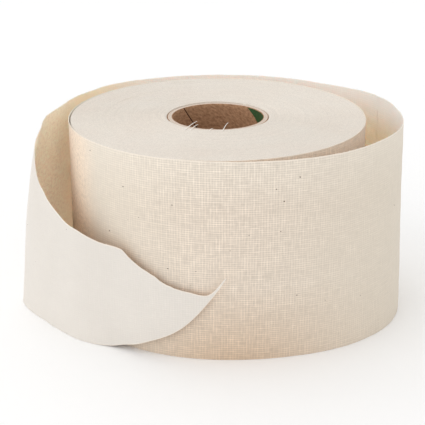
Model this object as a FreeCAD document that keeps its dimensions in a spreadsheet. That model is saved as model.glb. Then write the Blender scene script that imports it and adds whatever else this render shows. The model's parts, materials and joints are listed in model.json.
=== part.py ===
import FreeCAD, Part
import math
import os

import Sketcher

# A roll of cotton strip for hand wraps, wound on a spiral paper core and standing on end.
# Its last turn has sprung loose and ends in a long cut point that lies across the front.
# Frame: +Z is the core's axis, z = 0 is the face the roll stands on and -Y is its front.
# Angles run anticlockwise from +X seen from above, in degrees. Lengths are in millimetres.

drivingSizes = {
    "stripWidth": 88.9,
    "clothThickness": 0.27,
    "rollRadius": 66.5,
    "layerGap": 0.05,
    "lastTurnBulge": 0.6,
    "coreBoreRadius": 20.65,
    "linerThickness": 0.3,
    "plyThickness": 0.55,
    "coreRecess": 0.5,
    "tapeThickness": 0.08,
    "tapeSpan": 50,
    "tapeStart": 200,
    "labelThickness": 0.1,
    "labelHeight": 24,
    "labelDrop": 0.4,
    "labelSpan": 75,
    "labelStart": -27,
    "labelSlant": 51,
    "bendGap": 0.4,
}
boardPlies = 3

# Where the strip leaves the roll, seen from above. The last wound turn starts and ends here too.
liftOffAngle = -105

# The loose turn, station by station: angle and stand-off of its lower edge, then of its upper
# edge. A stand-off is measured from the roll's outer radius to the middle of the cloth.
looseFront = [
    (-90, 0.7, -90, 1.1),
    (-76, 2.2, -76, 2.6),
    (-62, 5.3, -62, 5.3),
    (-48, 9.7, -48, 8.8),
    (-36, 13.8, -36, 11.1),
    (-24, 17.3, -24, 13.8),
    (-12, 18.9, -12, 16.2),
    (2, 18.6, 2, 16.7),
    (16, 17.5, 16, 17.0),
    (28, 16.2, 28, 16.0),
    (38, 13.0, 38, 12.4),
    (50, 10.2, 50, 9.8),
    (64, 8.7, 64, 8.9),
    (77, 7.6, 77, 7.8),
    (90, 6.6, 90, 6.6),
]
looseLeft = [
    (104, 7.0, 104, 6.8),
    (118, 7.8, 118, 7.2),
    (132, 9.4, 132, 9.0),
    (146, 11.4, 146, 8.1),
    (158, 14.3, 158, 8.0),
    (168, 18.6, 169, 7.9),
    (177, 23.4, 179, 10.0),
]

# Where the cut through the strip starts at its upper edge: the same four values, then the heights
# of the lower and upper edges as shares of the strip's width.
cutStart = [
    (184, 25.9, 187, 11.9, 0.0, 0.996),
    (190, 23.6, 193, 13.8, 0.0, 0.975),
    (195, 20.6, 197.3, 17.0, 0.0, 0.925),
]

# The tail stands upright over its lower edge: angle, stand-off and the two shares.
tailBend = (200, 17.6, 0.0, 0.79)
tailFace = [
    (203.4, 16.3, 0.0, 0.722),
    (206.6, 15.2, 0.0, 0.677),
    (213.8, 13.1, 0.0, 0.615),
    (219, 11.5, 0.0, 0.588),
    (225, 8.5, 0.001, 0.557),
    (230.5, 5.8, 0.008, 0.540),
    (235, 4.5, 0.027, 0.526),
    (240, 3.8, 0.045, 0.477),
]
pointBend = (246, 3.3, 0.08, 0.432)
tailPoint = [
    (253, 2.9, 0.126, 0.380),
    (260, 2.8, 0.2, 0.358),
    (266, 2.9, 0.296, 0.346),
    (269.5, 3.2, 0.362, 0.382),
    (272, 3.9, 0.418, 0.430),
    (273, 4.3, 0.443, 0.449),
]

doc = FreeCAD.newDocument("HandWrapRoll")
sheet = doc.addObject("Spreadsheet::Sheet", "Sizes")
for row, (alias, value) in enumerate(drivingSizes.items(), start=1):
    sheet.set(f"A{row}", alias)
    sheet.set(f"B{row}", str(value))
    sheet.setAlias(f"B{row}", alias)
doc.recompute()

pieces = []


def size(alias):
    return float(sheet.get(alias))


def keep(piece, label):
    piece.Label = label
    pieces.append(piece)
    return piece


def originPlane(body, role):
    return next(item for item in body.Origin.OriginFeatures if item.Role == role)


def circleAtOrigin(sketch, name, radius):
    circle = sketch.addGeometry(Part.Circle(FreeCAD.Vector(0, 0, 0), FreeCAD.Vector(0, 0, 1), 10))
    sketch.addConstraint(Sketcher.Constraint("Coincident", circle, 3, -1, 1))
    constraint = sketch.addConstraint(Sketcher.Constraint("Radius", circle, 10))
    sketch.renameConstraint(constraint, name)
    sketch.setExpression(f"Constraints.{name}", radius)


def tube(label, bore, wall, length):
    # A tube stood on z = 0: a ring of the given bore radius and wall, padded to its length.
    body = doc.addObject("PartDesign::Body", label)
    ring = body.newObject("Sketcher::SketchObject", f"{label}_ring")
    ring.AttachmentSupport = [(originPlane(body, "XY_Plane"), "")]
    ring.MapMode = "FlatFace"
    circleAtOrigin(ring, "outer", f"{bore} + {wall}")
    circleAtOrigin(ring, "inner", bore)
    pad = body.newObject("PartDesign::Pad", f"{label}_pad")
    pad.Profile = ring
    pad.setExpression("Length", length)
    return keep(body, label)


def curvedPatch(label, inner, thickness, height, base, start, span):
    # A thin patch of a cylinder about the core's axis, from angle start through angle span.
    outerSector = doc.addObject("Part::Cylinder", f"{label}_outer")
    outerSector.setExpression("Radius", f"{inner} + {thickness}")
    innerSector = doc.addObject("Part::Cylinder", f"{label}_inner")
    innerSector.setExpression("Radius", inner)
    for sector in (outerSector, innerSector):
        sector.setExpression("Height", height)
        sector.setExpression("Angle", span)
        sector.setExpression("Placement.Base.z", base)
        sector.setExpression("Placement.Rotation.Angle", start)
    patch = doc.addObject("Part::Cut", label)
    patch.Base = outerSector
    patch.Tool = innerSector
    return patch


# The core: a paper liner, the board plies wound over it and a smooth outer liner.
coreLength = "Sizes.stripWidth - Sizes.coreRecess"
tube("core_inner_liner", "Sizes.coreBoreRadius", "Sizes.linerThickness", coreLength)
plyBore = "Sizes.coreBoreRadius + Sizes.linerThickness"
for ply in range(boardPlies):
    tube(f"core_board_ply_{ply + 1}", plyBore, "Sizes.plyThickness", coreLength)
    plyBore = f"{plyBore} + Sizes.plyThickness"
tube("core_outer_liner", plyBore, "Sizes.linerThickness", coreLength)
coreOuterRadius = f"{plyBore} + Sizes.linerThickness"

# The double-sided tape that holds the strip's inner end to the core.
tape = curvedPatch(
    "start_tape", coreOuterRadius, "Sizes.tapeThickness", coreLength, "0 mm",
    "Sizes.tapeStart", "Sizes.tapeSpan",
)
keep(tape, "start_tape")

# The tight winding, up to the last turn.
windingBore = f"{coreOuterRadius} + Sizes.tapeThickness"
windingWall = f"Sizes.rollRadius - Sizes.layerGap - Sizes.clothThickness - ({windingBore})"
tube("wound_cloth", windingBore, windingWall, "Sizes.stripWidth")

# The label inside the bore. Its upper left corner is at the end of its span, and from there its
# edge slants back and down.
labelBase = "Sizes.stripWidth - Sizes.coreRecess - Sizes.labelDrop - Sizes.labelHeight"
labelBlank = curvedPatch(
    "core_label_blank", "Sizes.coreBoreRadius - Sizes.labelThickness", "Sizes.labelThickness",
    "Sizes.labelHeight", labelBase, "Sizes.labelStart", "Sizes.labelSpan",
)


def cornerCutter():
    # A block whose lower left edge lies along the label's slanted side.
    cornerAngle = size("labelStart") + size("labelSpan")
    corner = FreeCAD.Vector(
        size("coreBoreRadius") * math.cos(math.radians(cornerAngle)),
        size("coreBoreRadius") * math.sin(math.radians(cornerAngle)),
        size("stripWidth") - size("coreRecess") - size("labelDrop"),
    )
    facing = FreeCAD.Rotation(FreeCAD.Vector(0, 0, 1), cornerAngle)
    leaning = FreeCAD.Rotation(FreeCAD.Vector(1, 0, 0), -size("labelSlant"))
    block = doc.addObject("Part::Box", "core_label_cutter")
    block.setExpression("Length", "Sizes.coreBoreRadius")
    block.setExpression("Width", "2 * Sizes.labelHeight")
    block.setExpression("Height", "4 * Sizes.labelHeight")
    centred = FreeCAD.Vector(-size("coreBoreRadius") / 2, 0, -size("labelHeight") * 3.9)
    turn = facing.multiply(leaning)
    block.Placement = FreeCAD.Placement(corner + turn.multVec(centred), turn)
    return block


label = doc.addObject("Part::Cut", "core_label")
label.Base = labelBlank
label.Tool = cornerCutter()
keep(label, "core_label")


def upright(angle, gap, low, high):
    return (angle, gap, angle, gap, low, high)


def edgePoints(stations, upper):
    points = []
    for lowerAngle, lowerGap, upperAngle, upperGap, low, high in stations:
        angle = math.radians(upperAngle if upper else lowerAngle)
        radius = size("rollRadius") + (upperGap if upper else lowerGap)
        height = size("stripWidth") * (high if upper else low)
        points.append(FreeCAD.Vector(radius * math.cos(angle), radius * math.sin(angle), height))
    return points


def curveThrough(points):
    curve = Part.BSplineCurve()
    curve.interpolate(Points=points, Parameters=[float(i) for i in range(len(points))])
    return curve


def offsetInPlan(curve, points, distance):
    # The same edge moved sideways, square to its run as seen from above.
    moved = []
    for i, point in enumerate(points):
        along = curve.tangent(float(i))[0]
        sideways = FreeCAD.Vector(along.y, -along.x, 0)
        moved.append(point + sideways.normalize() * distance)
    return curveThrough(moved)


def clothEdges(stations):
    # The four long edges of a strip of cloth: lower inner, lower outer, upper outer, upper inner.
    half = size("clothThickness") / 2
    lower = edgePoints(stations, False)
    upper = edgePoints(stations, True)
    lowerCurve = curveThrough(lower)
    upperCurve = curveThrough(upper)
    return [
        offsetInPlan(lowerCurve, lower, -half),
        offsetInPlan(lowerCurve, lower, half),
        offsetInPlan(upperCurve, upper, half),
        offsetInPlan(upperCurve, upper, -half),
    ]


def stepAlong(curve, at, length):
    # How far the parameter moves for a length along the curve near at.
    reach = 0.01
    near = max(curve.FirstParameter, at - reach)
    far = min(curve.LastParameter, at + reach)
    speed = (curve.value(far) - curve.value(near)).Length / (far - near)
    return length / speed


def clothPiece(label, edges, start, finish):
    # The strip between two parameters, closed by a ruled face on each side and at each end.
    rails = [curve.toShape(start, finish) for curve in edges]
    faces = [Part.makeRuledSurface(rails[i], rails[(i + 1) % 4]) for i in range(4)]
    for at in (start, finish):
        corners = [curve.value(at) for curve in edges]
        lowerEnd = Part.LineSegment(corners[0], corners[1]).toShape()
        upperEnd = Part.LineSegment(corners[3], corners[2]).toShape()
        faces.append(Part.makeRuledSurface(lowerEnd, upperEnd))
    shell = Part.Shell(faces)
    shell.sewShape()
    solid = Part.Solid(shell)
    if solid.Volume < 0:
        solid.reverse()
    piece = doc.addObject("Part::Feature", label)
    piece.Shape = solid
    piece.Placement = FreeCAD.Placement()
    return keep(piece, label)


def lastTurnStations():
    # One turn that climbs over its own start and bulges a little off the roll on the left.
    climb = size("layerGap") + size("clothThickness")
    stations = []
    for turned in range(0, 361, 15):
        angle = liftOffAngle + turned
        gap = climb * turned / 360 - size("clothThickness") / 2
        if 135 < angle < 225:
            gap += size("lastTurnBulge") * math.sin(math.radians((angle - 135) * 2)) ** 2
        stations.append(upright(angle, gap, 0.0, 1.0))
    return stations


# The last tight turn and the loose one are the same strip, parted where it lifts off the roll.
lastTurn = lastTurnStations()
lastTurnEdges = clothEdges(lastTurn)
lastTurnEnd = len(lastTurn) - 1
lastTurnTrim = stepAlong(lastTurnEdges[0], lastTurnEnd, size("bendGap") / 2)
clothPiece("last_wound_turn", lastTurnEdges, 0, lastTurnEnd - lastTurnTrim)

# The loose turn is one run of cloth, parted at the three places where it is free to bend.
liftOff = upright(liftOffAngle, size("layerGap") + size("clothThickness") / 2, 0.0, 1.0)
looseStations = [liftOff]
looseStations += [(*station, 0.0, 1.0) for station in looseFront + looseLeft]
looseStations += [*cutStart, upright(*tailBend)]
looseStations += [upright(*station) for station in tailFace + [pointBend] + tailPoint]
looseEdges = clothEdges(looseStations)

backBendAt = len(looseFront)
leftBendAt = backBendAt + len(looseLeft) + len(cutStart) + 1
pointBendAt = leftBendAt + len(tailFace) + 1
stops = [0, backBendAt, leftBendAt, pointBendAt, len(looseStations) - 1]
names = ["loose_turn_front", "loose_turn_left", "tail", "tail_point"]
for name, start, finish in zip(names, stops, stops[1:]):
    first = start + stepAlong(looseEdges[0], start, size("bendGap") / 2)
    last = finish
    if finish < stops[-1]:
        last -= stepAlong(looseEdges[0], finish, size("bendGap") / 2)
    clothPiece(name, looseEdges, first, last)

doc.recompute()

for item in doc.Objects:
    if "Invalid" in item.State or "Error" in item.State:
        raise RuntimeError(f"{item.Label} did not compute: {item.State}")
for piece in pieces:
    shape = piece.Shape
    if shape.isNull() or not shape.isValid() or len(shape.Solids) != 1:
        raise RuntimeError(f"{piece.Label} is not one valid solid")

os.makedirs("parts", exist_ok=True)
for piece in pieces:
    piece.Shape.exportStep(f"parts/{piece.Label}.step")
    print(f"{piece.Label}: {piece.Shape.Volume:.1f} mm3")
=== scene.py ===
import json
import math

import bpy
import numpy as np
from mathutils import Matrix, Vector


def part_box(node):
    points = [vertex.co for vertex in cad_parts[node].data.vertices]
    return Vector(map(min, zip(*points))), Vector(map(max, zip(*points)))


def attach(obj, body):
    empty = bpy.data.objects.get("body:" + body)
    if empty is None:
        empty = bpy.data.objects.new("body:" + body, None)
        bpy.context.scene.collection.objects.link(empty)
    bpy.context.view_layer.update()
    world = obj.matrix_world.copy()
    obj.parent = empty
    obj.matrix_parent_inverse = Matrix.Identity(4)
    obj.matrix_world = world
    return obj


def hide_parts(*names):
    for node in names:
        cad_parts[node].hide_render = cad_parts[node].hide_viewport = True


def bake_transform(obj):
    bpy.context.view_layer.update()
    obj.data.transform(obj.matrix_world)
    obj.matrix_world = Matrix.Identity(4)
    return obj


# A roll of unbleached cotton strip for hand wraps on a spiral paper core. Lengths are in
# millimetres and angles in degrees, anticlockwise from +X, until a mesh is made in metres.

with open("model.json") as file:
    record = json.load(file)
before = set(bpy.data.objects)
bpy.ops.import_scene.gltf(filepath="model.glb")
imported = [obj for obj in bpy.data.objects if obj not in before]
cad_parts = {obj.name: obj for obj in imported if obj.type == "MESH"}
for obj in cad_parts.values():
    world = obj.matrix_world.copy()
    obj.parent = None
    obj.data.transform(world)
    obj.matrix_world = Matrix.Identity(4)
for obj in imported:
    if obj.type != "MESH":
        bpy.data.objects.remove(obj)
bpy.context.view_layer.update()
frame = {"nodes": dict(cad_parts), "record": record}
metre = 1000.0


def outerRadius(node):
    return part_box(node)[1][0] * metre


def topOf(node):
    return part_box(node)[1][2] * metre


def ramp(values, start, end):
    share = np.clip((values - start) / (end - start), 0, 1)
    return share * share * (3 - 2 * share)


def between(values, start, full, fade, end):
    # Rises from 0 to 1 between start and full, and falls back between fade and end
    return ramp(values, start, full) * (1 - ramp(values, fade, end))


def ripples(across, along, shortest, longest, count, seed):
    # Soft random bumps about 1 high: sine waves of many lengths and headings added up
    draws = np.random.default_rng(seed)
    total = 0
    for _ in range(count):
        wave = draws.uniform(shortest, longest)
        heading = draws.uniform(0, math.tau)
        shift = draws.uniform(0, math.tau)
        run = across * math.cos(heading) + along * math.sin(heading)
        total = total + np.sin(run * math.tau / wave + shift)
    return total / math.sqrt(count)


def smoothCurve(points, places):
    # The natural cubic spline through the points, one at each whole number, read at places
    count = len(points)
    system = np.eye(count)
    known = np.zeros_like(points)
    for i in range(1, count - 1):
        system[i, i - 1:i + 2] = (1, 4, 1)
        known[i] = 6 * (points[i + 1] - 2 * points[i] + points[i - 1])
    bend = np.linalg.solve(system, known)
    first = np.clip(places.astype(int), 0, count - 2)
    t = (places - first)[:, None]
    curve = points[first] * (1 - t) + points[first + 1] * t
    curve += ((1 - t) ** 3 - (1 - t)) * bend[first] / 6
    return curve + (t ** 3 - t) * bend[first + 1] / 6


def makeMesh(name, points, faces, maps=None, marks=None, sharpAbove=35):
    # maps are UV maps and marks are named values, one row for each vertex, or for each
    # face corner in a map that has as many rows as corners
    mesh = bpy.data.meshes.new(name)
    mesh.from_pydata((np.asarray(points) / metre).tolist(), [], faces)
    corners = np.zeros(len(mesh.loops), dtype=np.int32)
    mesh.loops.foreach_get("vertex_index", corners)
    for mapName, values in (maps or {}).items():
        values = np.asarray(values, dtype=np.float32)
        perCorner = values if len(values) == len(corners) else values[corners]
        layer = mesh.uv_layers.new(name=mapName)
        layer.data.foreach_set("uv", perCorner.ravel())
    for markName, values in (marks or {}).items():
        layer = mesh.attributes.new(markName, "FLOAT", "POINT")
        layer.data.foreach_set("value", np.asarray(values, dtype=np.float32))
    mesh.shade_smooth()
    mesh.set_sharp_from_angle(angle=math.radians(sharpAbove))
    mesh.validate()
    piece = bpy.data.objects.new(name, mesh)
    bpy.context.scene.collection.objects.link(piece)
    return piece


def linearColour(code):
    # An sRGB hex colour as linear red, green, blue and alpha
    shares = [int(code[i:i + 2], 16) / 255 for i in (0, 2, 4)]
    bright = [s / 12.92 if s <= 0.04045 else ((s + 0.055) / 1.055) ** 2.4 for s in shares]
    return (*bright, 1)


def addNode(tree, kind, inputs=None, output=0, **settings):
    # Adds a node, sets it up, and returns one of its outputs. An input is a value or a link, and
    # goes by its name or by its place in the node's list.
    node = tree.nodes.new(kind)
    for name, value in settings.items():
        setattr(node, name, value)
    for socket, value in (inputs or {}).items():
        if isinstance(value, bpy.types.NodeSocket):
            tree.links.new(value, node.inputs[socket])
        else:
            node.inputs[socket].default_value = value
    return node.outputs[output]


def newMaterial(name, **finish):
    material = bpy.data.materials.new(name)
    material.use_nodes = True
    shader = material.node_tree.nodes["Principled BSDF"]
    for socket, value in finish.items():
        shader.inputs[socket.replace("_", " ")].default_value = value
    return material, material.node_tree, shader


def placeInMillimetres(tree, mapName=None):
    # A point's place on a UV map held in metres, or else in the piece's own space
    if mapName:
        place = addNode(tree, "ShaderNodeUVMap", uv_map=mapName)
    else:
        place = addNode(tree, "ShaderNodeTexCoord", output=3)
    return addNode(tree, "ShaderNodeVectorMath", {0: place, "Scale": metre}, operation="SCALE")


# Most of a noise's values lie between the first two, and its middle between the last two
wideLow, wideHigh = 0.3, 0.7
narrowLow, narrowHigh = 0.35, 0.65


def grainAt(tree, place, stretch, detail=2.0):
    # Noise from 0 to 1 whose grains are as long as stretch says along each way of the place
    shares = {0: place, 1: tuple(1 / length for length in stretch)}
    spread = addNode(tree, "ShaderNodeVectorMath", shares, operation="MULTIPLY")
    inputs = {"Vector": spread, "Scale": 1.0, "Detail": detail, "Roughness": 0.6}
    return addNode(tree, "ShaderNodeTexNoise", inputs)


muslin = {
    "cloth": "E5D7C7",        # unbleached cotton, cream with a little yellow
    "litThrough": "FFDEC0",   # the loose turn's inner face, which light reaches from outside
    "warmFold": "FFE8CF",     # deep in the fold, where light comes off cloth on both sides
    "airyFace": "EBE3DB",     # the loose turn's inner face, where it is open to the light
    "paintedLowShade": "D2B99F",       # darker and warmer near the lower edge, most at the front: painted shade, where less light comes up from the floor
    "lowShadeHeight": 34.0,
    "lowShadeShare": 0.9,
    "topLightFrom": 68.0,
    "topLightTo": 87.0,
    "topLightShare": 0.5,
    "restedCloth": "E4DBCB",  # away from the front, where the weave shows less
    "paintedTopLight": "F0E7D9",    # paler along the upper edge: painted light, where light falls from above on its rounded edge
    "paintedTailLight": "E6E0D8",    # the tail's end, paler: painted light, where it faces the light
    "tailLightFrom": 735.0,        # along the strip, where the painted light on the tail starts and is full
    "tailLightTo": 775.0,
    "cutFibreAndHighlight": "F8EEE0",     # loose fibre ends along a cut, and a painted highlight where light catches the cut edge
    "frayAndHighlightWidth": 0.55,
    "frayAndHighlightShare": 0.8,
    # The yarns lie 0.42 mm apart, too fine to show, so the weave is drawn 2 to 3 times coarser
    "warpPitch": 0.95,
    "weftPitch": 1.17,
    "weaveDepth": 0.1,
    "weftShows": (0.1, 1.0),  # how much of a yarn's line is left where it shows least and most
    "warpShows": (0.1, 1.5),
    "yarnWidth": 0.7,         # a share of the pitch
    "yarnRun": 6.0,           # how far one yarn keeps its thickness
    "streakDepth": 0.17,
    "blotchWidth": 14.0,
    "blotchDepth": 0.012,
    "mottleWidth": 1.6,
    "mottleDepth": 0.15,
    "husk": "B79C78",         # crushed seed husk spun into the yarn
    "huskSpacing": 7.0,
    "huskRadius": 0.26,
    "huskShare": 0.55,
    "huskSkipped": 0.62,      # the share of the places for a speck that stay empty
    "weaveRelief": 0.00012,
    "bumpStrength": 0.55,
    "lightReach": 1.7,        # how far light spreads inside the cloth, so that it shows through
    "reachByColour": (1.0, 0.65, 0.58),
}


def plainWovenUnbleachedCotton():
    # Greige muslin, woven on a plain loom: matt, uneven yarns that cross one over one, which
    # gives the eye short light and dark streaks both ways and a few specks of husk. The loose
    # turn's inner faces let light through, which warms them.
    look = muslin
    finish = {"Roughness": 0.93, "Specular_IOR_Level": 0.18, "Sheen_Weight": 0.12}
    finish["Subsurface_Scale"] = look["lightReach"] / metre
    finish["Subsurface_Radius"] = look["reachByColour"]
    material, tree, shader = newMaterial("plainWovenUnbleachedCotton", **finish)
    names = ("plainness", "innerFace", "warmth", "airy", "cutDistance")
    marks = [addNode(tree, "ShaderNodeAttribute", output=2, attribute_name=n) for n in names]
    plain, inner, warmth, airy, cut = marks
    place = placeInMillimetres(tree, "cloth")
    along = addNode(tree, "ShaderNodeSeparateXYZ", {0: place}, output=0)
    level = addNode(tree, "ShaderNodeSeparateXYZ", {0: place}, output=1)
    weft = grainAt(tree, place, (look["weftPitch"] * look["yarnWidth"], look["yarnRun"], 1))
    warp = grainAt(tree, place, (look["yarnRun"], look["warpPitch"] * look["yarnWidth"], 1))
    blotch = grainAt(tree, place, (look["blotchWidth"], look["blotchWidth"], 1))
    mottle = grainAt(tree, place, (look["mottleWidth"], look["mottleWidth"], 1), detail=3.0)

    # Tints by where the cloth lies, each laid over the ones before
    # Paler towards the upper edge: painted light from above
    span = {0: level, 1: look["topLightFrom"], 2: look["topLightTo"], 3: 0.0, 4: look["topLightShare"]}
    topLight = addNode(tree, "ShaderNodeMapRange", span)
    # Paler along the tail's end: painted light where it faces the light
    span = {0: along, 1: look["tailLightFrom"], 2: look["tailLightTo"], 3: 0.0, 4: 1.0}
    tailLight = addNode(tree, "ShaderNodeMapRange", span)
    # Darker and warmer towards the lower edge, most at the front: painted shade
    span = {0: level, 1: 0.0, 2: look["lowShadeHeight"], 3: look["lowShadeShare"], 4: 0.0}
    lowShade = addNode(tree, "ShaderNodeMapRange", span)
    front = addNode(tree, "ShaderNodeMath", {0: plain, 1: 2.0}, operation="POWER")
    lowShade = addNode(tree, "ShaderNodeMath", {0: lowShade, 1: front}, operation="MULTIPLY")
    tints = [
        (plain, "cloth"), (topLight, "paintedTopLight"), (tailLight, "paintedTailLight"), (inner, "litThrough"),
        (warmth, "warmFold"), (airy, "airyFace"), (lowShade, "paintedLowShade"),
    ]
    base = linearColour(look["restedCloth"])
    for share, tint in tints:
        mix = {0: share, 6: base, 7: linearColour(look[tint])}
        base = addNode(tree, "ShaderNodeMix", mix, output=2, data_type="RGBA")

    # Yarns one over one: a grid of lines, each stretch of it plainer or fainter than the next
    turns = {0: place, 1: (math.tau / look["weftPitch"], math.tau / look["warpPitch"], 0)}
    wave = addNode(tree, "ShaderNodeVectorMath", turns, operation="MULTIPLY")
    wave = addNode(tree, "ShaderNodeVectorMath", {0: wave}, operation="SINE")
    lines = []
    yarns = (weft, look["weftShows"]), (warp, look["warpShows"])
    for way, (yarn, (least, most)) in enumerate(yarns):
        line = addNode(tree, "ShaderNodeSeparateXYZ", {0: wave}, output=way)
        span = {0: yarn, 1: narrowLow, 2: narrowHigh, 3: least, 4: most}
        shown = addNode(tree, "ShaderNodeMapRange", span)
        lines.append(addNode(tree, "ShaderNodeMath", {0: line, 1: shown}, operation="MULTIPLY"))
    lines = addNode(tree, "ShaderNodeMath", {0: lines[0], 1: lines[1]}, operation="ADD")
    depth = {0: lines, 1: look["weaveDepth"]}
    lines = addNode(tree, "ShaderNodeMath", depth, operation="MULTIPLY")

    # The shade of each spot: streaks and lines where the weave shows, mottle deep in the fold
    streaks = addNode(tree, "ShaderNodeMath", {0: weft, 1: warp}, operation="ADD")
    depth = look["streakDepth"]
    span = {0: streaks, 1: 2 * wideLow, 2: 2 * wideHigh, 3: -depth, 4: depth}
    shade = addNode(tree, "ShaderNodeMapRange", span)
    shade = addNode(tree, "ShaderNodeMath", {0: shade, 1: lines}, operation="ADD")
    shown = {0: shade, 1: plain, 2: 1.0}
    shade = addNode(tree, "ShaderNodeMath", shown, operation="MULTIPLY_ADD")
    depth = look["mottleDepth"]
    span = {0: mottle, 1: narrowLow, 2: narrowHigh, 3: -depth, 4: depth}
    mottle = addNode(tree, "ShaderNodeMapRange", span)
    shown = {0: mottle, 1: warmth, 2: shade}
    shade = addNode(tree, "ShaderNodeMath", shown, operation="MULTIPLY_ADD")
    depth = look["blotchDepth"]
    span = {0: blotch, 1: wideLow, 2: wideHigh, 3: 1 - depth, 4: 1 + depth}
    cloud = addNode(tree, "ShaderNodeMapRange", span)
    shade = addNode(tree, "ShaderNodeMath", {0: shade, 1: cloud}, operation="MULTIPLY")
    base = addNode(tree, "ShaderNodeVectorMath", {0: base, "Scale": shade}, operation="SCALE")

    # Specks of husk in some of the cells of a loose pattern, and pale fibres along the cuts with a
    # painted highlight where light catches the cut edge
    specks = {"Vector": place, "Scale": 1 / look["huskSpacing"], "Randomness": 1.0}
    near = addNode(tree, "ShaderNodeTexVoronoi", specks)
    draw = addNode(tree, "ShaderNodeTexVoronoi", specks, output=1)
    radius = look["huskRadius"] / look["huskSpacing"]
    span = {0: near, 1: radius * 0.5, 2: radius, 3: look["huskShare"], 4: 0.0}
    speck = addNode(tree, "ShaderNodeMapRange", span)
    limit = {0: draw, 1: look["huskSkipped"]}
    chosen = addNode(tree, "ShaderNodeMath", limit, operation="GREATER_THAN")
    speck = addNode(tree, "ShaderNodeMath", {0: speck, 1: chosen}, operation="MULTIPLY")
    # Paler along the cuts: fibre ends, and painted highlight
    span = {0: cut, 1: 0.0, 2: look["frayAndHighlightWidth"], 3: look["frayAndHighlightShare"], 4: 0.0}
    frayAndHighlight = addNode(tree, "ShaderNodeMapRange", span)
    for share, tint in ((speck, "husk"), (frayAndHighlight, "cutFibreAndHighlight")):
        mix = {0: share, 6: base, 7: linearColour(look[tint])}
        base = addNode(tree, "ShaderNodeMix", mix, output=2, data_type="RGBA")
    tree.links.new(base, shader.inputs["Base Color"])
    tree.links.new(inner, shader.inputs["Subsurface Weight"])
    height = {0: lines, 1: 3.0, 2: streaks}
    relief = addNode(tree, "ShaderNodeMath", height, operation="MULTIPLY_ADD")
    bump = {"Strength": look["bumpStrength"], "Distance": look["weaveRelief"], "Height": relief}
    tree.links.new(addNode(tree, "ShaderNodeBump", bump), shader.inputs["Normal"])
    return material


woundEnd = {
    "edge": "EAE4DA",         # cut ends of the yarns, paler than the cloth's face
    "warmEdge": "E7DCD0",
    "shadowed": "C9BFAE",     # down in the pits, where a layer has sunk
    "cloudWidth": 22.0,
    "turnWidth": 1.1,         # the turns lie 0.27 mm apart, too fine to show, so they are coarser
    "turnStreak": 26.0,       # how far along a turn its tint holds
    "turnShades": (0.92, 1.07),
    "fuzzWidth": 0.5,
    "fuzzShades": (0.9, 1.1),
    "pitFrom": 0.12,
    "pitReach": 1.1,
    "pitShare": 0.75,
}


def cutCottonLayers():
    # The end of the winding, a few hundred cut edges side by side: matt and chalky, each
    # turn a hair lighter or darker than the next
    look = woundEnd
    finish = {"Roughness": 0.95, "Specular_IOR_Level": 0.15, "Sheen_Weight": 0.1}
    material, tree, shader = newMaterial("cutCottonLayers", **finish)
    onTurns = placeInMillimetres(tree, "turns")
    streak = grainAt(tree, onTurns, (look["turnWidth"], look["turnStreak"], 1), detail=1.0)
    place = placeInMillimetres(tree)
    cloud = grainAt(tree, place, (look["cloudWidth"],) * 3)
    fuzz = grainAt(tree, place, (look["fuzzWidth"],) * 3, detail=3.0)
    mix = {0: cloud, 6: linearColour(look["edge"]), 7: linearColour(look["warmEdge"])}
    base = addNode(tree, "ShaderNodeMix", mix, output=2, data_type="RGBA")
    for grain, (dark, light) in ((streak, look["turnShades"]), (fuzz, look["fuzzShades"])):
        span = {0: grain, 1: wideLow, 2: wideHigh, 3: dark, 4: light}
        shade = addNode(tree, "ShaderNodeMapRange", span)
        tinted = {0: base, "Scale": shade}
        base = addNode(tree, "ShaderNodeVectorMath", tinted, operation="SCALE")
    depth = addNode(tree, "ShaderNodeAttribute", output=2, attribute_name="sunk")
    span = {0: depth, 1: look["pitFrom"], 2: look["pitReach"], 3: 0.0, 4: look["pitShare"]}
    pit = addNode(tree, "ShaderNodeMapRange", span)
    mix = {0: pit, 6: base, 7: linearColour(look["shadowed"])}
    base = addNode(tree, "ShaderNodeMix", mix, output=2, data_type="RGBA")
    tree.links.new(base, shader.inputs["Base Color"])
    bump = {"Strength": 0.5, "Distance": 0.00015, "Height": fuzz}
    tree.links.new(addNode(tree, "ShaderNodeBump", bump), shader.inputs["Normal"])
    return material


kraft = {
    "face": "CDA27F",
    "dark": "956C4D",
    "light": "DDB894",
    "seam": "4A2C1B",
    "mottle": 1.3,
    "fibreLength": 2.6,
    "fibreWidth": 0.22,
    "fibreShows": (0.62, 0.8),    # how high the grain is where a fibre starts and shows fully
    "fibreShare": 0.7,
}


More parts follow.
